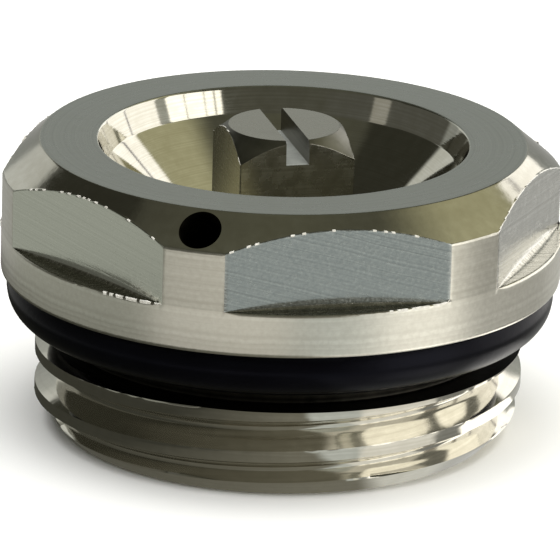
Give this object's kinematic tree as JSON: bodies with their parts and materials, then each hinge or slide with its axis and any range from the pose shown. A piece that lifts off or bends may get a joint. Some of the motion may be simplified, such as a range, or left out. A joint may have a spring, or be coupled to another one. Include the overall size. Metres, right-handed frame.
{
  "type": "radiator vent plug with bleed screw",
  "caption": "Round-collared hexagon plug with a pipe thread, sealing ring and coned dish, whose square slotted bleed screw opens a side vent hole.",
  "frame": {"origin": "centre of the threaded end face, on the plug's axis; the plug stands on that face", "axes": "+Z along the plug's axis, from the threaded end to the bleed screw; -Y through the corner with the vent hole"},
  "size_m": [0.024, 0.024, 0.0133],
  "materials": {
    "plated_plug": "nickel-plated, turned and milled",
    "plated_screw": "nickel-plated, milled",
    "seal_rubber": "moulded, slightly glossy"
  },
  "bodies": {
    "plug": {"plug_body": "plated_plug", "collar_seal": "seal_rubber"},
    "seal_carrier": {"tip_seal": "seal_rubber"},
    "screw": {"bleed_screw": "plated_screw"}
  },
  "joints": [
    {"name": "screw_rise", "type": "slide", "parent": "plug", "child": "seal_carrier", "axis": [0, 0, 1], "range_m": [0, 0.0015]},
    {"name": "screw_turn", "type": "hinge", "parent": "seal_carrier", "child": "screw", "pos_m": [0, 0, 0.0035], "axis": [0, 0, 1], "range_deg": [0, 540]}
  ],
  "couplings": [
    {"joint": "screw_turn", "follows": "screw_rise", "rad_per_m": 6283.2}
  ]
}
